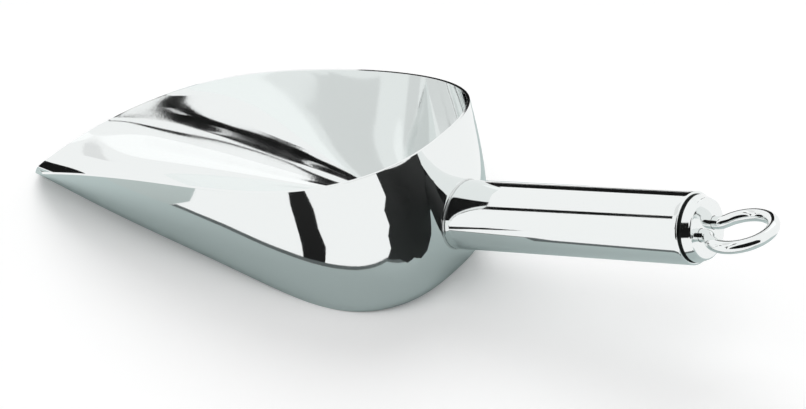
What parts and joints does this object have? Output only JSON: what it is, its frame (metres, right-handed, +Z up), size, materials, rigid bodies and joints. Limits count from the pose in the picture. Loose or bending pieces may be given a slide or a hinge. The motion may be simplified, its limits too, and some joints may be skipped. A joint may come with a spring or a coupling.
{
  "type": "ice scoop",
  "caption": "Pressed steel ice scoop with a pointed, flat-based bowl, a sloping tube handle, an end cap and a wire hanging loop.",
  "frame": {"origin": "middle of the bowl's flat base, on the table", "axes": "+X runs from the tip towards the handle, +Y to the left when looking along +X, +Z up"},
  "size_m": [0.2915, 0.0838, 0.0567],
  "materials": {
    "polished_sheet": "mirror polished stainless steel sheet",
    "polished_tube": "mirror polished stainless steel tube",
    "turned_cap": "turned and polished stainless steel",
    "bent_wire": "polished stainless steel wire",
    "weld_bead": "ground and polished weld"
  },
  "bodies": {
    "root": {"bowl": "polished_sheet", "handle_tube": "polished_tube", "bowl_weld": "weld_bead", "end_cap": "turned_cap", "hanging_loop": "bent_wire", "loop_welds": "weld_bead"}
  },
  "joints": []
}
